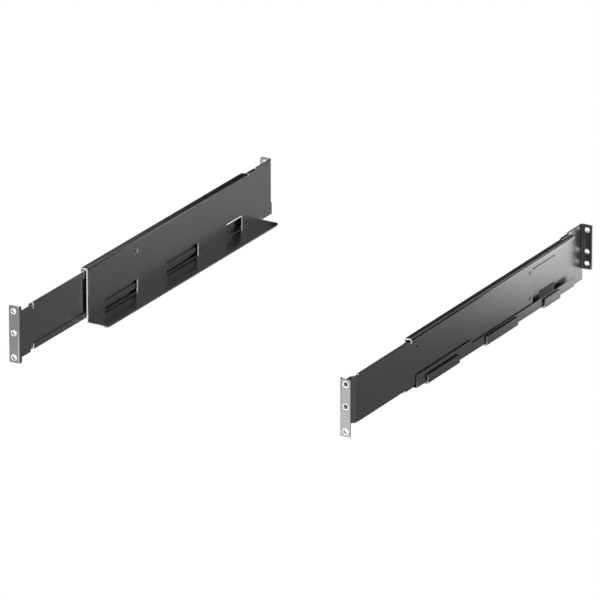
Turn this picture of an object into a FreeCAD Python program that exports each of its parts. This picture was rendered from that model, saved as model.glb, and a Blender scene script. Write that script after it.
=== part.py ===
import FreeCAD, Part
import os
import re

# A pair of adjustable rack mounting rails, two rack units tall, in millimetres.
# X runs across the rack, Y from the front posts to the rear posts, Z up.
# The origin is the middle of the floor of the pair, at the drawn-out length below.

doc = FreeCAD.newDocument("rack_rails")
dims = doc.addObject("Spreadsheet::Sheet", "dims")

DIMENSIONS = {
    # The pair as a whole
    "total_depth": 597.2,       # front face of the front ears to the rear ends of the rear nuts
    "clear_width": 446.4,       # between the inner faces of the two rail walls
    # The hole pattern of a 19-inch rack
    "rack_unit": 44.45,
    "hole_first": 6.35,         # first hole above the bottom of the rack space
    "hole_pitch": 15.875,
    "hole_span": 465.1,         # centre to centre across the rack
    "space_bottom": 0.8,        # bottom of the rack space above the shelf's underside
    "ear_edge": 6.6,            # hole centre to the ear's outer edge
    "ear_top": 74.1,
    "ear_corner": 1.5,
    # Nuts pressed into the ears from behind
    "nut_seat": 8,              # hole in the ear
    "nut_collar": 7.9,          # collar that fills the hole
    "nut_body": 9,
    "nut_height": 2.2,          # body behind the ear
    "nut_bore": 6,
    "nut_lead": 0.3,            # chamfer at both mouths of the bore
    # Support rail: lip, flange, wall and shelf of one folded sheet
    "rail_length": 440,
    "rail_height": 72.4,
    "rail_sheet": 2,
    "bend_inside": 1,           # inside radius of the bends in the rails and slides
    "shelf_bend": 0.3,          # sharper inside radius between wall and shelf
    "channel_reach": 11.1,      # wall's inner face to the lip's outer face
    "lip_drop": 6,
    "flange_length": 381.5,
    "shelf_reach": 28,
    "shelf_length": 411.5,
    "shelf_corner": 5,
    "end_relief": 2.5,          # gap left where a fold stops short of the wall's end
    "rise_start": 402,          # from here the wall is as tall as the ear
    "rear_ear_bottom": 15.3,
    # Three tabs of the wall folded out under the guide and up as hooks
    "hook_start": 40,
    "hook_step": 144.5,
    "hook_length": 77,
    "hook_length_rear": 39,
    "hook_reach": 11,
    "hook_height": 12.6,
    "hook_ease": 0.1,           # hook floors below the shelf's top, so the guide clears the load
    "window_top": 20.8,
    "window_top_rear": 22,
    # Upper and lower guides inside the channel
    "guide_sheet": 1,
    "guide_face": 7.3,          # wall's inner face to the inner face of the guide lips
    "guide_start": 17.8,
    "guide_end": 408,
    "guide_bend": 2,
    "lower_lip_front": 19.5,
    "lower_lip_rear": 14.6,
    "lower_lip_step": 151,
    # Front slide: ear, plain front, joggle and hemmed web of one sheet
    "slide_length": 460,
    "slide_sheet": 1.5,
    "slide_bottom": 6.4,
    "slide_height": 61.9,
    "slide_gap": 3,             # wall's outer face to the web's inner face
    "front_ear_bottom": 0.5,
    "front_offset": 1.1,        # wall's inner face to the plain front's inner face
    "front_bottom": 7.6,
    "front_height": 60,
    "front_neck": 5.4,          # full-height strip beside the ear
    "neck_corner": 2.5,
    "joggle_start": 25,
    "joggle_run": 4,
    "full_end": 34.5,           # end of the full-height web in front of the hems
    "hem_start": 36,
    "hem_end": 438,
    "hem_height": 8,
    "hem_gap": 0.4,
    "hem_relief": 2.1,
    "index_hole": 3.5,
    "index_hole_depth": 174.5,  # behind the front ears
    "pin_height": 55.6,         # stop pin, index hole and upper rivet
    # Shoes on the rear end of the slide, and the stop pin they run up against
    "shoe_clearance": 0.3,
    "upper_shoe_bottom": 50,
    "lower_shoe_top": 27,
    "rivet_inset": 5,
    "rivet_low": 22.7,
    "rivet_diameter": 3,
    "rivet_head": 5,
    "rivet_head_height": 0.7,
    "pin_depth": 114.5,         # behind the rail's front end
    "pin_diameter": 5,
    "pin_shank": 4,
    "pin_head": 9.6,
    "pin_head_height": 1.5,     # domed
    # Narrow wear strip on the wall behind the shoe's path
    "wear_start": 315,
    "wear_length": 54,
    "wear_bottom": 54.7,
    "wear_top": 56.1,
    "wear_sheet": 0.8,
}

for row, (name, value) in enumerate(DIMENSIONS.items(), start=1):
    dims.set(f"A{row}", name)
    dims.set(f"B{row}", str(value))
    dims.setAlias(f"B{row}", name)
doc.recompute()

# Places that many pieces share, as expressions on the sheet
RAIL_END = "(total_depth / 2 - nut_height)"
RAIL_FRONT = f"({RAIL_END} - rail_length)"
SLIDE_FRONT = "(-total_depth / 2)"
SLIDE_END = "(slide_length - total_depth / 2)"
SLIDE_TOP = "(slide_bottom + slide_height)"
WEB = "(rail_sheet + slide_gap)"
LIP = "(rail_sheet + slide_gap - hem_gap - slide_sheet)"
EAR_OUT = "(hole_span / 2 + ear_edge - clear_width / 2)"
HOLE_OUT = "(hole_span / 2 - clear_width / 2)"
BEND_OUTSIDE = DIMENSIONS["bend_inside"] + DIMENSIONS["rail_sheet"]
SLIDE_BEND_OUTSIDE = DIMENSIONS["bend_inside"] + DIMENSIONS["slide_sheet"]
GUIDE_BEND_INSIDE = DIMENSIONS["guide_bend"] - DIMENSIONS["guide_sheet"]
FRONT_HOLES = ["hole_first", "hole_first + 2 * hole_pitch", "rack_unit + hole_first + hole_pitch"]
REAR_HOLES = ["hole_first + hole_pitch"] + FRONT_HOLES[1:]
RIVET_HEIGHTS = ["rivet_low", "pin_height"]
RIVET_DEPTH = f"({SLIDE_END} - rivet_inset)"
HOOK_FLOOR = "(rail_sheet - hook_ease)"
SIDES = {"left": -1, "right": 1}


def on_sheet(match):
    """A dimension's name pointed at the sheet; any other word stays as it is."""
    word = match.group(0)
    return f"dims.{word}" if word in DIMENSIONS else word


def bound(text):
    """The expression with every dimension's name pointed at the sheet."""
    return re.sub(r"[a-z]\w*", on_sheet, text)


def number(text):
    """The present value of an expression on the sheet."""
    probe = doc.addObject("App::FeaturePython", "probe")
    probe.addProperty("App::PropertyFloat", "Value")
    probe.setExpression("Value", bound(text))
    doc.recompute()
    value = probe.Value
    doc.removeObject(probe.Name)
    return value


def across(side, out, width="0"):
    """X of a piece's lower end, from its distance outward of the wall's inner face."""
    if side == "right":
        return f"clear_width / 2 + ({out})"
    return f"-clear_width / 2 - ({out}) - ({width})"


def put(thing, x, y, z):
    """Binds where a shape stands."""
    thing.setExpression("Placement.Base.x", bound(x))
    thing.setExpression("Placement.Base.y", bound(y))
    thing.setExpression("Placement.Base.z", bound(z))
    return thing


def block(name, side, out, y, z, width, depth, height):
    """A box whose inner face is out millimetres outward of the wall's inner face."""
    box = doc.addObject("Part::Box", f"{side}_{name}")
    box.setExpression("Length", bound(width))
    box.setExpression("Width", bound(depth))
    box.setExpression("Height", bound(height))
    return put(box, across(side, out, width), y, z)


def round_along_depth(name, side, out, y, z, diameter, depth):
    """A cylinder whose axis runs towards the rear."""
    rod = doc.addObject("Part::Cylinder", f"{side}_{name}")
    rod.setExpression("Radius", bound(f"({diameter}) / 2"))
    rod.setExpression("Height", bound(depth))
    rod.Placement.Rotation = FreeCAD.Rotation(FreeCAD.Vector(1, 0, 0), -90)
    return put(rod, across(side, out), y, z)


def round_across(name, side, out, y, z, diameter, length):
    """A cylinder whose axis runs outward from the rail."""
    rod = doc.addObject("Part::Cylinder", f"{side}_{name}")
    rod.setExpression("Radius", bound(f"({diameter}) / 2"))
    rod.setExpression("Height", bound(length))
    rod.Placement.Rotation = FreeCAD.Rotation(FreeCAD.Vector(0, 1, 0), 90 * SIDES[side])
    return put(rod, across(side, out), y, z)


def dome_inward(name, side, y, z, diameter, rise):
    """A shallow dome on the wall's inner face."""
    radius = f"((({diameter}) / 2)^2 + ({rise})^2) / (2 * ({rise}))"
    cap = doc.addObject("Part::Sphere", f"{side}_{name}")
    cap.setExpression("Radius", bound(radius))
    cap.setExpression("Angle1", bound(f"asin(1 - ({rise}) / ({radius}))"))
    cap.Placement.Rotation = FreeCAD.Rotation(FreeCAD.Vector(0, 1, 0), -90 * SIDES[side])
    return put(cap, across(side, f"{radius} - ({rise})"), y, z)


def joined(name, pieces):
    """The pieces as one solid."""
    fusion = doc.addObject("Part::MultiFuse", name)
    fusion.Shapes = pieces
    fusion.Refine = True
    doc.recompute()
    return fusion


def without(name, base, tools):
    """The base with every tool cut out of it."""
    tool = tools[0] if len(tools) == 1 else joined(name + "_tools", tools)
    result = doc.addObject("Part::Cut", name)
    result.Base = base
    result.Tool = tool
    result.Refine = True
    doc.recompute()
    return result


def keeps_to(edge, target):
    """True if both ends of the edge lie at the target's coordinates."""
    for vertex in edge.Vertexes:
        for axis, value in target.items():
            if abs(getattr(vertex.Point, axis) - value) > 1e-4:
                return False
    return True


def rounded(name, base, side, places):
    """The base with a radius on each edge that keeps to the places given as (radius, where) pairs."""
    chosen = []
    for radius, where in places:
        target = {axis: number(text) for axis, text in where.items()}
        if "x" in target:
            target["x"] = SIDES[side] * (target["x"] + DIMENSIONS["clear_width"] / 2)
        hits = []
        for index, edge in enumerate(base.Shape.Edges, start=1):
            if keeps_to(edge, target):
                hits.append((index, radius, radius))
        if not hits:
            raise RuntimeError(f"{name}: no edge at {where}")
        chosen.extend(hits)
    fillet = doc.addObject("Part::Fillet", name)
    fillet.Base = base
    fillet.Edges = chosen
    doc.recompute()
    return fillet


def ear_holes(side, heights, y, depth):
    """One cutter for each screw hole of an ear."""
    cutters = []
    for count, height in enumerate(heights, start=1):
        cutters.append(round_along_depth(f"ear_hole_{count}", side, HOLE_OUT, y, f"space_bottom + {height}",
                                         "nut_seat", depth))
    return cutters


def ear_nuts(side, name, heights, face, sheet):
    """The nuts of one ear, each with a collar flush with the ear's front and a round body behind."""
    nuts = []
    length = f"({sheet} + nut_height)"
    for count, height in enumerate(heights, start=1):
        z = f"space_bottom + {height}"
        label = f"{name}_nut_{count}"
        outside = joined(f"{side}_{label}_outside", [
            round_along_depth(f"{label}_collar", side, HOLE_OUT, face, z, "nut_collar", length),
            round_along_depth(f"{label}_body", side, HOLE_OUT, f"{face} + {sheet}", z, "nut_body",
                              "nut_height"),
        ])
        bored = without(f"{side}_{label}_bored", outside, [
            round_along_depth(f"{label}_bore", side, HOLE_OUT, face, z, "nut_bore", length),
        ])
        nuts.append(chamfered(f"{side}_{label}", bored, DIMENSIONS["nut_bore"] / 2, DIMENSIONS["nut_lead"]))
    group = doc.addObject("Part::Compound", f"{side}_{name}_nuts")
    group.Links = nuts
    doc.recompute()
    return group


def chamfered(name, base, radius, size):
    """The base with a chamfer on every round edge of that radius."""
    edges = []
    for index, edge in enumerate(base.Shape.Edges, start=1):
        if hasattr(edge.Curve, "Radius") and abs(edge.Curve.Radius - radius) < 1e-4:
            edges.append((index, size, size))
    chamfer = doc.addObject("Part::Chamfer", name)
    chamfer.Base = base
    chamfer.Edges = edges
    doc.recompute()
    return chamfer


def hook_places():
    """Start along the rail, length and window top of each hook."""
    starts = [f"hook_start + {count} * hook_step" for count in range(3)]
    lengths = ["hook_length", "hook_length", "hook_length_rear"]
    tops = ["window_top", "window_top", "window_top_rear"]
    return list(zip(starts, lengths, tops))


def support_rail(side):
    """Channel and shelf folded from one sheet, with windows, hooks and the rear ear."""
    length = "rail_length"
    front = RAIL_FRONT
    flange_z = "rail_height - rail_sheet"
    lip_x = "channel_reach - rail_sheet"
    section = joined(f"{side}_section", [
        block("wall", side, "0", front, "0", "rail_sheet", length, "rail_height"),
        block("flange", side, "0", front, flange_z, "channel_reach", length, "rail_sheet"),
        block("lip", side, lip_x, front, "rail_height - lip_drop", "rail_sheet", length, "lip_drop"),
        block("shelf", side, "-shelf_reach", front, "0", "shelf_reach + rail_sheet", length, "rail_sheet"),
    ])
    inside = DIMENSIONS["bend_inside"]
    folded = rounded(f"{side}_folded", section, side, [
        (BEND_OUTSIDE, {"x": "0", "z": "rail_height"}),
        (inside, {"x": "rail_sheet", "z": flange_z}),
        (BEND_OUTSIDE, {"x": "channel_reach", "z": "rail_height"}),
        (inside, {"x": lip_x, "z": flange_z}),
        (BEND_OUTSIDE, {"x": "rail_sheet", "z": "0"}),
        (DIMENSIONS["shelf_bend"], {"x": "0", "z": "rail_sheet"}),
    ])

    # The flange and the shelf stop before the wall's rear end, and the ear takes the wall's last strip
    clear = "(2 * bend_inside + rail_sheet)"
    cutters = [
        block("flange_end", side, "-rail_sheet", f"{front} + flange_length", f"rail_height - {clear}",
              "channel_reach + 2 * rail_sheet", "rail_length", clear),
        block("lip_end", side, "channel_reach - 2 * rail_sheet", f"{front} + flange_length",
              "rail_height - 2 * lip_drop", "3 * rail_sheet", "rail_length", "2 * lip_drop"),
        block("shelf_end", side, "-shelf_reach - rail_sheet", f"{front} + shelf_length", "0",
              "shelf_reach + 3 * rail_sheet", "rail_length", clear),
        block("ear_end", side, "-rail_sheet", f"{RAIL_END} - {clear}", "rear_ear_bottom",
              "3 * rail_sheet", "rail_length", "ear_top"),
    ]
    for count, (start, size, top) in enumerate(hook_places(), start=1):
        cutters.append(block(f"window_{count}", side, "-bend_inside", f"{front} + {start}", HOOK_FLOOR,
                             "bend_inside + 2 * rail_sheet", size, f"{top} - {HOOK_FLOOR}"))
    trimmed = without(f"{side}_trimmed", folded, cutters)
    shelved = rounded(f"{side}_shelved", trimmed, side, [
        (DIMENSIONS["shelf_corner"], {"x": "-shelf_reach", "y": front}),
        (DIMENSIONS["shelf_corner"], {"x": "-shelf_reach", "y": f"{front} + shelf_length"}),
    ])

    # The wall runs on past the flange and the shelf to the rear ear
    upper_start = "(flange_length + end_relief)"
    lower_start = "(shelf_length + end_relief)"
    pieces = [
        shelved,
        block("wall_upper", side, "0", f"{front} + {upper_start}", f"rail_height - 2 * {clear}",
              "rail_sheet", f"rail_length - {upper_start} - {clear}", f"2 * {clear}"),
        block("wall_rise", side, "0", f"{front} + rise_start", f"rail_height - 2 * {clear}",
              "rail_sheet", f"rail_length - rise_start - {clear}",
              f"ear_top - rail_height + 2 * {clear}"),
        block("wall_lower", side, "0", f"{front} + {lower_start}", "0",
              "rail_sheet", f"rail_length - {lower_start}", f"2 * {clear}"),
        rear_ear(side),
    ]
    for count, (start, size, _) in enumerate(hook_places(), start=1):
        pieces.append(hook(side, count, f"{front} + {start}", size))
    whole = joined(f"{side}_rail_whole", pieces)
    pin_hole = round_across("pin_hole", side, "-rail_sheet", f"{front} + pin_depth", "pin_height",
                            "pin_shank + 0.1", "3 * rail_sheet")
    holes = ear_holes(side, REAR_HOLES, f"{RAIL_END} - 2 * rail_sheet", "3 * rail_sheet")
    return without(f"{side}_support_rail", whole, holes + [pin_hole])


def rear_ear(side):
    """The ear folded outward from the wall's rear end."""
    low = "rear_ear_bottom"
    height = "ear_top - rear_ear_bottom"
    stub = "3 * (2 * bend_inside + rail_sheet)"
    blank = joined(f"{side}_rear_ear_blank", [
        block("rear_stub", side, "0", f"{RAIL_END} - {stub}", low, "rail_sheet", stub, height),
        block("rear_face", side, "0", f"{RAIL_END} - rail_sheet", low, EAR_OUT, "rail_sheet", height),
    ])
    return rounded(f"{side}_rear_ear", blank, side, [
        (BEND_OUTSIDE, {"x": "0", "y": RAIL_END}),
        (DIMENSIONS["bend_inside"], {"x": "rail_sheet", "y": f"{RAIL_END} - rail_sheet"}),
        (DIMENSIONS["ear_corner"], {"x": EAR_OUT, "z": low}),
        (DIMENSIONS["ear_corner"], {"x": EAR_OUT, "z": "ear_top"}),
    ])


def hook(side, count, start, size):
    """A tab that carries on from the shelf under the wall and turns up."""
    sheet = "rail_sheet"
    lip = "hook_reach - rail_sheet"
    blank = joined(f"{side}_hook_blank_{count}", [
        block(f"hook_floor_{count}", side, "-rail_sheet", start, "0", "hook_reach + rail_sheet", size,
              HOOK_FLOOR),
        block(f"hook_lip_{count}", side, lip, start, "0", sheet, size, "hook_height"),
    ])
    return rounded(f"{side}_hook_{count}", blank, side, [
        (BEND_OUTSIDE, {"x": "hook_reach", "z": "0"}),
        (DIMENSIONS["bend_inside"], {"x": lip, "z": HOOK_FLOOR}),
    ])


def lower_guide(side):
    """The angle that lies in the hooks; its lip is taller over the front length."""
    start = f"{RAIL_FRONT} + guide_start"
    length = "guide_end - guide_start"
    outer = "guide_face + guide_sheet"
    floor = HOOK_FLOOR
    blank = joined(f"{side}_lower_guide_blank", [
        block("lower_floor", side, "rail_sheet", start, floor, f"{outer} - rail_sheet", length,
              "guide_sheet"),
        block("lower_lip", side, "guide_face", start, floor, "guide_sheet", length,
              f"lower_lip_rear - {floor}"),
        block("lower_lip_tall", side, "guide_face", start, floor, "guide_sheet",
              "lower_lip_step - guide_start", f"lower_lip_front - {floor}"),
    ])
    return rounded(f"{side}_lower_guide", blank, side, [
        (DIMENSIONS["guide_bend"], {"x": outer, "z": floor}),
        (GUIDE_BEND_INSIDE, {"x": "guide_face", "z": f"{floor} + guide_sheet"}),
    ])


def upper_guide(side):
    """The angle under the channel's flange that rests on the slide's top edge."""
    start = f"{RAIL_FRONT} + guide_start"
    length = "guide_end - guide_start"
    outer = "guide_face + guide_sheet"
    inner = "rail_sheet + 1.1 * bend_inside"
    top = "rail_height - rail_sheet"
    floor = f"{top} - guide_sheet"
    blank = joined(f"{side}_upper_guide_blank", [
        block("upper_floor", side, inner, start, floor, f"{outer} - ({inner})", length, "guide_sheet"),
        block("upper_lip", side, "guide_face", start, "rail_height - lip_drop", "guide_sheet", length,
              "lip_drop - rail_sheet"),
    ])
    return rounded(f"{side}_upper_guide", blank, side, [
        (DIMENSIONS["guide_bend"], {"x": outer, "z": top}),
        (GUIDE_BEND_INSIDE, {"x": "guide_face", "z": floor}),
    ])


def front_ear(side):
    """The slide's ear with the full-height strip beside its bend."""
    sheet = "slide_sheet"
    inner = "front_offset"
    low = "front_ear_bottom"
    height = "ear_top - front_ear_bottom"
    blank = joined(f"{side}_front_ear_blank", [
        block("front_face", side, inner, SLIDE_FRONT, low, f"{EAR_OUT} - {inner}", sheet, height),
        block("front_neck", side, inner, SLIDE_FRONT, low, sheet, "front_neck", height),
    ])
    return rounded(f"{side}_front_ear", blank, side, [
        (SLIDE_BEND_OUTSIDE, {"x": inner, "y": SLIDE_FRONT}),
        (DIMENSIONS["bend_inside"], {"x": f"{inner} + {sheet}", "y": f"{SLIDE_FRONT} + {sheet}"}),
        (DIMENSIONS["ear_corner"], {"x": EAR_OUT, "z": low}),
        (DIMENSIONS["ear_corner"], {"x": EAR_OUT, "z": "ear_top"}),
        (DIMENSIONS["neck_corner"], {"y": f"{SLIDE_FRONT} + front_neck", "z": low}),
        (DIMENSIONS["neck_corner"], {"y": f"{SLIDE_FRONT} + front_neck", "z": "ear_top"}),
    ])


def joggle(side):
    """The slanted step that carries the slide outward past the rail's wall."""
    step = doc.addObject("Part::Wedge", f"{side}_joggle")
    near = across(side, "front_offset", "slide_sheet")
    far = across(side, WEB, "slide_sheet")
    for name, text in {
        "Xmin": near,
        "Xmax": f"{near} + slide_sheet",
        "X2min": far,
        "X2max": f"{far} + slide_sheet",
        "Ymin": f"{SLIDE_FRONT} + joggle_start",
        "Ymax": f"{SLIDE_FRONT} + joggle_start + joggle_run",
        "Zmin": "front_bottom",
        "Zmax": "front_bottom + front_height",
        "Z2min": "front_bottom",
        "Z2max": "front_bottom + front_height",
    }.items():
        step.setExpression(name, bound(text))
    return step


def hem(side, name, edge_z, low_z):
    """One edge of the web folded back on its inner side, with a round fold at edge_z."""
    start = f"{SLIDE_FRONT} + hem_start"
    length = "hem_end - hem_start"
    width = "2 * slide_sheet + hem_gap"
    fold_z = edge_z if name == "lower" else f"{edge_z} - slide_sheet"
    blank = joined(f"{side}_{name}_hem_blank", [
        block(f"{name}_hem_lip", side, LIP, start, low_z, "slide_sheet", length, "hem_height"),
        block(f"{name}_hem_web", side, WEB, start, low_z, "slide_sheet", length, "hem_height"),
        block(f"{name}_hem_fold", side, LIP, start, fold_z, width, length, "slide_sheet"),
    ])
    radius = 0.95 * (DIMENSIONS["slide_sheet"] + DIMENSIONS["hem_gap"] / 2)
    return rounded(f"{side}_{name}_hem", blank, side, [
        (radius, {"x": LIP, "z": edge_z}),
        (radius, {"x": f"{WEB} + slide_sheet", "z": edge_z}),
    ])


def front_slide(side):
    """Ear, plain front, joggle and hemmed web of the sliding half."""
    joggle_end = f"{SLIDE_FRONT} + joggle_start + joggle_run"
    core_z = "slide_bottom + hem_relief"
    core_height = "slide_height - 2 * hem_relief"
    whole = joined(f"{side}_slide_whole", [
        front_ear(side),
        block("plain", side, "front_offset", f"{SLIDE_FRONT} + slide_sheet + bend_inside", "front_bottom",
              "slide_sheet", "joggle_start - slide_sheet - bend_inside", "front_height"),
        joggle(side),
        block("full_web", side, WEB, joggle_end, "front_bottom", "slide_sheet",
              "full_end - joggle_start - joggle_run", "front_height"),
        block("web", side, WEB, joggle_end, core_z, "slide_sheet",
              "slide_length - joggle_start - joggle_run", core_height),
        block("tail", side, WEB, f"{SLIDE_FRONT} + hem_end", "slide_bottom", "slide_sheet",
              "slide_length - hem_end", "slide_height"),
        hem(side, "lower", "slide_bottom", "slide_bottom"),
        hem(side, "upper", SLIDE_TOP, f"{SLIDE_TOP} - hem_height"),
    ])
    through = "3 * slide_sheet"
    start = f"{WEB} - slide_sheet"
    cutters = ear_holes(side, FRONT_HOLES, f"{SLIDE_FRONT} - slide_sheet", through)
    cutters.append(round_across("index_hole", side, start, f"{SLIDE_FRONT} + index_hole_depth",
                                "pin_height", "index_hole", through))
    for count, height in enumerate(RIVET_HEIGHTS, start=1):
        cutters.append(round_across(f"web_rivet_hole_{count}", side, start, RIVET_DEPTH, height,
                                    "rivet_diameter + 0.1", through))
    return without(f"{side}_front_slide", whole, cutters)


def shoe(side, name, low, high, rivet_z):
    """A flat shoe riveted inside the web at the slide's rear end."""
    width = f"{WEB} - {LIP}"
    blank = block(f"{name}_shoe_blank", side, LIP, f"{SLIDE_FRONT} + hem_end", low, width,
                  "slide_length - hem_end", f"({high}) - ({low})")
    doc.recompute()
    hole = round_across(f"{name}_shoe_hole", side, f"{LIP} + hem_gap", RIVET_DEPTH, rivet_z,
                        "rivet_diameter + 0.1", width)
    return without(f"{side}_{name}_shoe", blank, [hole])


def shoe_rivets(side):
    """The two rivets that hold the shoes, heads on the outer face of the web."""
    rivets = []
    face = f"({WEB} + slide_sheet)"
    shank_start = f"({LIP} + 2 * hem_gap)"
    for count, height in enumerate(RIVET_HEIGHTS, start=1):
        shank = round_across(f"rivet_shank_{count}", side, shank_start, RIVET_DEPTH, height,
                             "rivet_diameter", f"{face} - {shank_start}")
        head = round_across(f"rivet_head_{count}", side, face, RIVET_DEPTH, height,
                            "rivet_head", "rivet_head_height")
        rivets.append(joined(f"{side}_rivet_{count}", [shank, head]))
    both = doc.addObject("Part::Compound", f"{side}_shoe_rivets")
    both.Links = rivets
    doc.recompute()
    return both


def stop_pin(side):
    """The pin through the rail's wall that the upper shoe stops against."""
    depth = f"{RAIL_FRONT} + pin_depth"
    height = "pin_height"
    reach = "slide_gap - shoe_clearance"
    return joined(f"{side}_stop_pin", [
        dome_inward("pin_head", side, depth, height, "pin_head", "pin_head_height"),
        round_across("pin_shank", side, "0", depth, height, "pin_shank", "rail_sheet"),
        round_across("pin_stop", side, "rail_sheet", depth, height, "pin_diameter", reach),
    ])


def wear_strip(side):
    """The narrow strip on the wall that backs the upper shoe when the slide is pushed in."""
    return block("wear_strip", side, "rail_sheet", f"{RAIL_FRONT} + wear_start", "wear_bottom", "wear_sheet",
                 "wear_length", "wear_top - wear_bottom")


nodes = []
for hand in SIDES:
    nodes.append(support_rail(hand))
    nodes.append(upper_guide(hand))
    nodes.append(lower_guide(hand))
    nodes.append(wear_strip(hand))
    nodes.append(stop_pin(hand))
    nodes.append(front_slide(hand))
    shoe_top = "rail_height - rail_sheet - guide_sheet - shoe_clearance"
    shoe_floor = "rail_sheet + guide_sheet + shoe_clearance"
    nodes.append(shoe(hand, "upper", "upper_shoe_bottom", shoe_top, "pin_height"))
    nodes.append(shoe(hand, "lower", shoe_floor, "lower_shoe_top", "rivet_low"))
    nodes.append(shoe_rivets(hand))
    nodes.append(ear_nuts(hand, "front", FRONT_HOLES, SLIDE_FRONT, "slide_sheet"))
    nodes.append(ear_nuts(hand, "rear", REAR_HOLES, f"({RAIL_END} - rail_sheet)", "rail_sheet"))
doc.recompute()

for thing in doc.Objects:
    if "Invalid" in thing.State or "Error" in thing.State:
        raise RuntimeError(f"{thing.Name} did not build: {thing.State}")

os.makedirs("parts", exist_ok=True)
for node in nodes:
    node.Label = node.Name
    shape = node.Shape
    if shape.isNull() or not shape.isValid():
        raise RuntimeError(f"{node.Label} has no valid shape")
    shape.exportStep(f"parts/{node.Label}.step")
    box = shape.BoundBox
    print(node.Label, len(shape.Solids), round(shape.Volume, 1),
          [round(v, 2) for v in (box.XMin, box.XMax, box.YMin, box.YMax, box.ZMin, box.ZMax)])
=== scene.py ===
import math

import bpy
from mathutils import Matrix, Vector


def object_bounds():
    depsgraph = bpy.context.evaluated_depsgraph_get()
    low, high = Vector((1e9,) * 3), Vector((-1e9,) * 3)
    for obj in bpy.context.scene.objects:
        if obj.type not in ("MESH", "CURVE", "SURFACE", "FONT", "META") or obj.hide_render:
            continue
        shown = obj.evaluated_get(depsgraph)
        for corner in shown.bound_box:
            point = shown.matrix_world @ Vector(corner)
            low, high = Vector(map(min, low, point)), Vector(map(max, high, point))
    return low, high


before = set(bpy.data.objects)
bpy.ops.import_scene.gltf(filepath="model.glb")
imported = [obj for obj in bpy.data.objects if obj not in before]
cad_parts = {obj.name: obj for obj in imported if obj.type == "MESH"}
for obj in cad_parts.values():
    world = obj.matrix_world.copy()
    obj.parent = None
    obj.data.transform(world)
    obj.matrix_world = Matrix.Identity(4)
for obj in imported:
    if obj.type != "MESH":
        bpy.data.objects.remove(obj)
cad_low, cad_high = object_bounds()

# Camera, from a fit to the photograph: metres, degrees, and pixels of the 600-pixel frame
IMAGE_SIZE = 600
VIEW_AZIMUTH = math.radians(30.589)
VIEW_ELEVATION = math.radians(21.451)
VIEW_DISTANCE = 10.8745
PIXELS_PER_METRE = 817.0        # at the point the camera aims at
AIM = Vector((0.0, -0.0111, 0.0313))
SENSOR = 36.0
CLIP_END = 100.0

# The room around the rails: metres, degrees above the horizon, and brightness
FLOOR_DROP = 1.0                # floor below the rails
FLOOR_SIZE = 60.0
FLOOR_GREY = 0.8
SKY_WHITE_UNTIL = math.radians(2.2)
SKY_DARK_FROM = math.radians(6)
SKY_WHITE = 1.0
SKY_DARK = 0.04

# Finishes: how much colour and gloss vary, and the scale of the clouds and grain that vary them
COLOUR_SPREAD = 0.05
BLUE_LIFT = 0.01
GLOSS_SPREAD = 0.02
CLOUD_SCALE = 22.0
CLOUD_DETAIL = 3.0
PEEL_DETAIL = 2.0
PEEL_STRENGTH = 0.05
PEEL_DEPTH = 0.0002
STEEL_GRAIN = 900.0
PLASTIC_GRAIN = 600.0

# Edges, in metres and degrees
SHEET_EDGE = 0.0002             # width of the broken edges of sheets and shoes
FASTENER_EDGE = 0.0001          # the same on pins, rivets and nuts
EDGE_STEPS = 2
SHARP_ANGLE = math.radians(40)  # edges sharper than this are broken
FLAT_ANGLE = math.radians(0.5)  # faces closer to flat than this are joined
WELD_DISTANCE = 0.000005        # points closer than this are joined

# Cut ends that show bare metal, as far back on each rail as in the photograph: metres along the rails;
# further back, the right rail's cut ends keep the dark paint as painted shade
EAR_ZONE = 0.006                # length at each end that belongs to the ears
BARE_UNTIL_THEN_PAINTED_SHADE = {"left": 0.3, "right": 0.05}
SQUARE_CUT = 0.999              # least share of a face's normal that points along the rail

# Light cards, seen in the rails' reflections: distance from the rails' middle, brightness and colour
REAR_CARD_DISTANCE = 0.45
REAR_CARD_DARK = 0.24
REAR_CARD_BRIGHT = 2.75
HIGH_CARD_DISTANCE = 1.0
HIGH_CARD_GLOW = 1.0
FLANGE_CARD_DISTANCE = 0.6
FRONT_CARD_DISTANCE = 0.9
SIDE_CARD_DISTANCE = 0.8
SIDE_CARD_GLOW = 0.14
SHADE_CARD_DISTANCE = 0.44
SHADE_CARD_GLOW = 0.05
CARD_TINT = (1.0, 0.97, 1.0, 1.0)


def view_direction():
    """The way the camera looks."""
    level = math.cos(VIEW_ELEVATION)
    across = -math.sin(VIEW_AZIMUTH) * level
    away = math.cos(VIEW_AZIMUTH) * level
    return Vector((across, away, -math.sin(VIEW_ELEVATION)))


def mirrored(normal):
    """The way the camera's view leaves a mirror that faces along normal."""
    look = view_direction()
    return look - 2 * look.dot(normal) * normal


def add_camera():
    """A long lens at the photograph's angle."""
    data = bpy.data.cameras.new("camera")
    data.sensor_width = SENSOR
    data.lens = PIXELS_PER_METRE * VIEW_DISTANCE / IMAGE_SIZE * SENSOR
    data.clip_end = CLIP_END
    camera = bpy.data.objects.new("camera", data)
    camera.location = AIM - VIEW_DISTANCE * view_direction()
    camera.rotation_euler = (math.pi / 2 - VIEW_ELEVATION, 0.0, VIEW_AZIMUTH)
    bpy.context.scene.collection.objects.link(camera)
    bpy.context.scene.camera = camera


def new_material(name):
    """A material with empty nodes, and its node tree."""
    material = bpy.data.materials.new(name)
    material.use_nodes = True
    material.node_tree.nodes.clear()
    return material, material.node_tree


def grey(shade, change):
    """A grey made lighter or darker by a share of itself, with a trace of blue."""
    level = 1.0 + change
    return (level * shade, level * shade, (level + BLUE_LIFT) * shade, 1.0)


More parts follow.
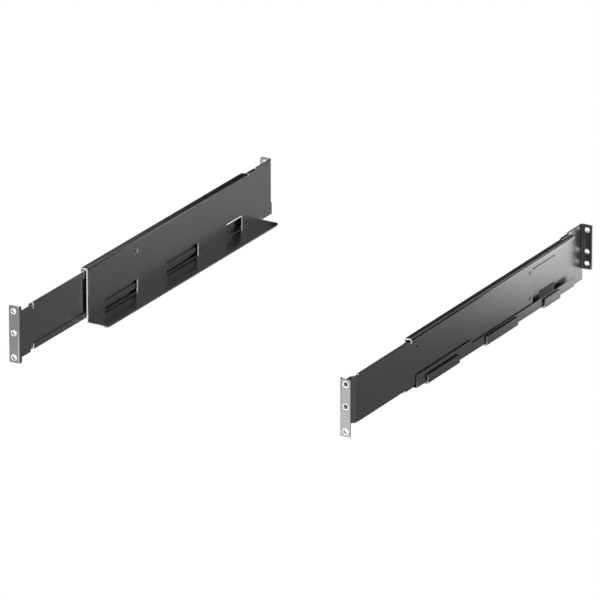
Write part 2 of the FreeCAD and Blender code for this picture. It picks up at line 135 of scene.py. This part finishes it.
def smooth_finish(name, shade, metallic, roughness, grain):
    """A finish with a faint orange peel, uneven gloss and slightly uneven colour."""
    material, tree = new_material(name)
    nodes = tree.nodes
    link = tree.links.new
    output = nodes.new("ShaderNodeOutputMaterial")
    shader = nodes.new("ShaderNodeBsdfPrincipled")
    shader.inputs["Metallic"].default_value = metallic
    place = nodes.new("ShaderNodeTexCoord")

    cloud = nodes.new("ShaderNodeTexNoise")
    cloud.inputs["Scale"].default_value = CLOUD_SCALE
    cloud.inputs["Detail"].default_value = CLOUD_DETAIL
    link(place.outputs["Object"], cloud.inputs["Vector"])

    colour = nodes.new("ShaderNodeMix")
    colour.data_type = "RGBA"
    colour.inputs["A"].default_value = grey(shade, -COLOUR_SPREAD)
    colour.inputs["B"].default_value = grey(shade, COLOUR_SPREAD)
    link(cloud.outputs["Fac"], colour.inputs["Factor"])
    link(colour.outputs["Result"], shader.inputs["Base Color"])

    gloss = nodes.new("ShaderNodeMapRange")
    gloss.inputs["To Min"].default_value = roughness - GLOSS_SPREAD
    gloss.inputs["To Max"].default_value = roughness + GLOSS_SPREAD
    link(cloud.outputs["Fac"], gloss.inputs["Value"])
    link(gloss.outputs["Result"], shader.inputs["Roughness"])

    peel = nodes.new("ShaderNodeTexNoise")
    peel.inputs["Scale"].default_value = grain
    peel.inputs["Detail"].default_value = PEEL_DETAIL
    link(place.outputs["Object"], peel.inputs["Vector"])
    bump = nodes.new("ShaderNodeBump")
    bump.inputs["Strength"].default_value = PEEL_STRENGTH
    bump.inputs["Distance"].default_value = PEEL_DEPTH
    link(peel.outputs["Fac"], bump.inputs["Height"])
    link(bump.outputs["Normal"], shader.inputs["Normal"])
    link(shader.outputs["BSDF"], output.inputs["Surface"])
    return material


def mark_cut_ends(mesh, bare_until_then_painted_shade):
    """Puts the second finish on faces cut across the length of the sheet, except on the ears; cut ends
    further back than the given limit keep the dark paint, as painted shade.
    """
    for face in mesh.polygons:
        # Cut ends past the limit keep the dark paint, as painted shade
        if face.center.y > bare_until_then_painted_shade:
            continue
        from_end = min(face.center.y - cad_low.y, cad_high.y - face.center.y)
        if abs(face.normal.y) > SQUARE_CUT and from_end > EAR_ZONE:
            face.material_index = 1


def dress(names, material, edge, cut_material=None):
    """Gives CAD nodes their finish and breaks their sharp edges."""
    for name in names:
        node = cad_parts[name]
        node.data.materials.clear()
        node.data.materials.append(material)
        if cut_material:
            node.data.materials.append(cut_material)
            rail = name.split("_")[0]
            mark_cut_ends(node.data, BARE_UNTIL_THEN_PAINTED_SHADE[rail])
        weld = node.modifiers.new("weld", "WELD")
        weld.merge_threshold = WELD_DISTANCE
        flat = node.modifiers.new("flat", "DECIMATE")
        flat.decimate_type = "DISSOLVE"
        flat.angle_limit = FLAT_ANGLE
        bevel = node.modifiers.new("edges", "BEVEL")
        bevel.width = edge
        bevel.segments = EDGE_STEPS
        bevel.limit_method = "ANGLE"
        bevel.angle_limit = SHARP_ANGLE
        bevel.harden_normals = True


def dress_rails():
    """Gives every node of the rails its finish, by the last word of its name."""
    names = sorted(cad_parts)
    shoes = [name for name in names if name.endswith("shoe")]
    pins = [name for name in names if name.endswith("pin")]
    rivets = [name for name in names if name.endswith("rivets")]
    nuts = [name for name in names if name.endswith("nuts")]
    sheets = [name for name in names if name not in shoes + pins + rivets + nuts]

    bare = smooth_finish("cut_edge", shade=0.55, metallic=0.0, roughness=0.50, grain=STEEL_GRAIN)
    paint = smooth_finish("painted_steel", shade=0.20, metallic=0.97, roughness=0.29, grain=STEEL_GRAIN)
    dress(sheets, paint, SHEET_EDGE, bare)
    plastic = smooth_finish("glide_plastic", shade=0.03, metallic=0.0, roughness=0.40, grain=PLASTIC_GRAIN)
    dress(shoes, plastic, SHEET_EDGE)
    pin_steel = smooth_finish("pin_steel", shade=0.40, metallic=0.95, roughness=0.25, grain=STEEL_GRAIN)
    dress(pins, pin_steel, FASTENER_EDGE)
    rivet_steel = smooth_finish("rivet_steel", shade=0.20, metallic=0.95, roughness=0.25, grain=STEEL_GRAIN)
    dress(rivets, rivet_steel, FASTENER_EDGE)
    plated = smooth_finish("plated_nut", shade=0.85, metallic=1.0, roughness=0.40, grain=STEEL_GRAIN)
    dress(nuts, plated, FASTENER_EDGE)


def add_stage_plane(name, corners, material):
    """A flat piece of the room, which isn't part of the object."""
    mesh = bpy.data.meshes.new(name)
    mesh.from_pydata(corners, [], [(0, 1, 2, 3)])
    mesh.materials.append(material)
    plane = bpy.data.objects.new(name, mesh)
    bpy.context.scene.collection.objects.link(plane)
    return plane


def seen_directly(tree):
    """1 for a ray from the camera, a reflection or a transmission, 0 for diffuse light."""
    path = tree.nodes.new("ShaderNodeLightPath")
    total = path.outputs["Is Camera Ray"]
    for name in ("Is Glossy Ray", "Is Transmission Ray"):
        either = tree.nodes.new("ShaderNodeMath")
        either.operation = "MAXIMUM"
        tree.links.new(total, either.inputs[0])
        tree.links.new(path.outputs[name], either.inputs[1])
        total = either.outputs["Value"]
    return total


def add_floor():
    """A pale floor far under the rails, white to the camera and to reflections."""
    material, tree = new_material("floor")
    nodes = tree.nodes
    link = tree.links.new
    output = nodes.new("ShaderNodeOutputMaterial")
    matte = nodes.new("ShaderNodeBsdfDiffuse")
    matte.inputs["Color"].default_value = (FLOOR_GREY, FLOOR_GREY, FLOOR_GREY, 1.0)
    white = nodes.new("ShaderNodeEmission")
    both = nodes.new("ShaderNodeMixShader")
    link(seen_directly(tree), both.inputs["Fac"])
    link(matte.outputs["BSDF"], both.inputs[1])
    link(white.outputs["Emission"], both.inputs[2])
    link(both.outputs["Shader"], output.inputs["Surface"])

    half = FLOOR_SIZE / 2
    level = cad_low.z - FLOOR_DROP
    corners = [(-half, -half, level), (half, -half, level), (half, half, level), (-half, half, level)]
    add_stage_plane("floor", corners, material)


def add_world():
    """White at the horizon and dark above, like a studio with the lights off overhead."""
    world = bpy.data.worlds.new("world")
    world.use_nodes = True
    tree = world.node_tree
    tree.nodes.clear()
    link = tree.links.new
    output = tree.nodes.new("ShaderNodeOutputWorld")
    sky = tree.nodes.new("ShaderNodeBackground")
    place = tree.nodes.new("ShaderNodeTexCoord")
    split = tree.nodes.new("ShaderNodeSeparateXYZ")
    height = tree.nodes.new("ShaderNodeMapRange")
    height.interpolation_type = "SMOOTHSTEP"
    height.inputs["From Min"].default_value = math.sin(SKY_WHITE_UNTIL)
    height.inputs["From Max"].default_value = math.sin(SKY_DARK_FROM)
    height.inputs["To Min"].default_value = SKY_WHITE
    height.inputs["To Max"].default_value = SKY_DARK
    link(place.outputs["Generated"], split.inputs["Vector"])
    link(split.outputs["Z"], height.inputs["Value"])
    link(height.outputs["Result"], sky.inputs["Strength"])
    link(sky.outputs["Background"], output.inputs["Surface"])
    bpy.context.scene.world = world


def add_ramp(tree, axis, low, high):
    """A smooth change along one of a card's own axes, from one (place, brightness) pair to another."""
    place = tree.nodes.new("ShaderNodeTexCoord")
    split = tree.nodes.new("ShaderNodeSeparateXYZ")
    ramp = tree.nodes.new("ShaderNodeMapRange")
    ramp.interpolation_type = "SMOOTHSTEP"
    ramp.inputs["From Min"].default_value = low[0]
    ramp.inputs["From Max"].default_value = high[0]
    ramp.inputs["To Min"].default_value = low[1]
    ramp.inputs["To Max"].default_value = high[1]
    tree.links.new(place.outputs["Object"], split.inputs["Vector"])
    tree.links.new(split.outputs[axis], ramp.inputs["Value"])
    return ramp.outputs["Result"]


def card_material(name, glow=1.0, glow_across=None, glow_upward=None):
    """A card that glows evenly, or brighter towards one end of an axis; two such axes multiply."""
    material, tree = new_material(name)
    nodes = tree.nodes
    link = tree.links.new
    output = nodes.new("ShaderNodeOutputMaterial")
    light = nodes.new("ShaderNodeEmission")
    light.inputs["Color"].default_value = CARD_TINT
    light.inputs["Strength"].default_value = glow
    link(light.outputs["Emission"], output.inputs["Surface"])

    brightness = None
    for axis, ends in (("X", glow_across), ("Y", glow_upward)):
        if not ends:
            continue
        ramp = add_ramp(tree, axis, *ends)
        if brightness:
            product = nodes.new("ShaderNodeMath")
            product.operation = "MULTIPLY"
            link(brightness, product.inputs[0])
            link(ramp, product.inputs[1])
            brightness = product.outputs["Value"]
        else:
            brightness = ramp
    if brightness:
        link(brightness, light.inputs["Strength"])
    return material


def add_card(name, direction, distance, across, upward, material):
    """A card square to a direction from the rails' middle, with its ends across and upward in metres."""
    side = Vector((-direction.y, direction.x, 0.0)).normalized()
    if side.x < 0:
        side = -side
    rise = direction.cross(side)
    if rise.z < 0:
        rise = -rise
    left, right = across
    bottom, top = upward
    corners = [(left, bottom, 0.0), (right, bottom, 0.0), (right, top, 0.0), (left, top, 0.0)]
    card = add_stage_plane(name, corners, material)
    facing = side.cross(rise)
    centre = distance * direction
    card.matrix_world = Matrix(((side.x, rise.x, facing.x, centre.x),
                                (side.y, rise.y, facing.y, centre.y),
                                (side.z, rise.z, facing.z, centre.z),
                                (0.0, 0.0, 0.0, 1.0)))
    card.visible_camera = False


def add_rear_cards():
    """Cards behind on the right, for the walls, the left shelf and the bend of the right flange."""
    rear = mirrored(Vector((1.0, 0.0, 0.0)))

    # Two cards side by side, dark below and bright above, one for each rail's wall
    right_glow = card_material("right_rear_card",
                               glow_upward=((0.055, REAR_CARD_DARK), (0.215, REAR_CARD_BRIGHT)))
    add_card("right_rear_card", rear, REAR_CARD_DISTANCE, across=(0.0, 0.7), upward=(-0.6, 0.27),
             material=right_glow)
    left_glow = card_material("left_rear_card", glow_upward=((-0.09, 0.26), (0.09, 0.58)))
    add_card("left_rear_card", rear, REAR_CARD_DISTANCE, across=(-0.7, 0.0), upward=(-0.6, 0.34),
             material=left_glow)

    # A card above the left one, which the left shelf shows after one more reflection in the wall
    high = Vector((rear.x, rear.y, -rear.z))
    high_glow = card_material("high_card", glow=HIGH_CARD_GLOW)
    add_card("high_card", high, HIGH_CARD_DISTANCE, across=(-0.5, 0.06), upward=(-0.2, 0.5),
             material=high_glow)

    # Two dark cards over the right one, so the outer bend of the right flange stays dark
    shade = card_material("shade_card", glow=SHADE_CARD_GLOW)
    add_card("front_shade_card", rear, SHADE_CARD_DISTANCE, across=(0.2, 0.7), upward=(0.125, 0.5),
             material=shade)
    add_card("rear_shade_card", rear, SHADE_CARD_DISTANCE, across=(0.0, 0.2), upward=(0.27, 0.5),
             material=shade)


def add_flange_card():
    """A card behind on the left, brighter towards the left rail, that the flanges reflect."""
    direction = mirrored(Vector((0.0, 0.0, 1.0)))
    glow = card_material("flange_card", glow_across=((-0.3, 0.27), (-0.08, 0.03)))
    add_card("flange_card", direction, FLANGE_CARD_DISTANCE, across=(-0.7, 0.05), upward=(-0.3, 0.3),
             material=glow)


def add_front_card():
    """A card in front on the left, brighter towards the right ear, that the ears reflect."""
    direction = mirrored(Vector((0.0, -1.0, 0.0)))
    glow = card_material("front_card", glow_across=((0.05, 1.5), (0.35, 2.2)),
                         glow_upward=((0.05, 1.55), (0.13, 0.72)))
    add_card("front_card", direction, FRONT_CARD_DISTANCE, across=(-0.6, 0.7), upward=(-0.5, 0.5),
             material=glow)


def add_side_cards():
    """Two dark cards on the right, for the right slide's slanted step and the right rear ear's inner bend."""
    direction = Vector((0.85, -0.35, -0.37)).normalized()
    dark = card_material("side_card", glow=SIDE_CARD_GLOW)
    for name, across in (("front_side_card", (-0.31, -0.16)), ("rear_side_card", (0.16, 1.1))):
        add_card(name, direction, SIDE_CARD_DISTANCE, across, upward=(-0.4, 0.4), material=dark)


def add_panel(name, centre, towards, width, height, radiance):
    """A rectangular lamp that faces a point; its power follows from how bright it should look."""
    data = bpy.data.lights.new(name, "AREA")
    data.shape = "RECTANGLE"
    data.size = width
    data.size_y = height
    data.energy = radiance * math.pi * width * height
    lamp = bpy.data.objects.new(name, data)
    lamp.location = centre
    lamp.rotation_euler = (towards - centre).to_track_quat("-Z", "Y").to_euler()
    lamp.visible_camera = False
    bpy.context.scene.collection.objects.link(lamp)


def add_lamps():
    """One lamp in front of the middle, for the cut ends that face the front, and a wide one overhead."""
    add_panel("key_panel", centre=Vector((0.0, -0.95, 0.5)), towards=Vector((0.0, 0.0, 0.04)),
              width=0.3, height=0.6, radiance=14.0)
    add_panel("overhead_panel", centre=Vector((0.0, 0.0, 2.5)), towards=Vector((0.0, 0.0, 0.0)),
              width=4.0, height=4.0, radiance=0.6)


add_camera()
add_world()
add_floor()
dress_rails()
add_rear_cards()
add_flange_card()
add_front_card()
add_side_cards()
add_lamps()

bpy.context.scene.view_settings.view_transform = "Standard"
